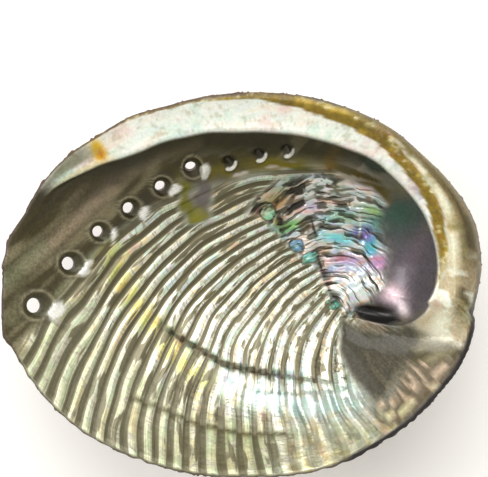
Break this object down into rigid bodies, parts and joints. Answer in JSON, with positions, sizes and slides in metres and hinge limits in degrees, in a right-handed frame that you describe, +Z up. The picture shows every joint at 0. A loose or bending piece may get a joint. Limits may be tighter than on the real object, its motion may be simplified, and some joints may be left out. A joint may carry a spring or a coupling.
{
  "type": "abalone shell",
  "caption": "Natural abalone shell lying on its back: an open oval bowl with an inner shelf, a low spire and a row of breathing holes.",
  "frame": {"origin": "on the table under the middle of the shell's box, at rest on its back", "axes": "+Z up out of the open bowl, +X along the length towards the spire, +Y towards the shelf and the row of holes"},
  "size_m": [0.1644, 0.1299, 0.0445],
  "materials": {
    "shell": "iridescent nacre inside, reddish-brown ribbed outer layer"
  },
  "bodies": {
    "root": {"abalone_shell": "shell"}
  },
  "joints": []
}
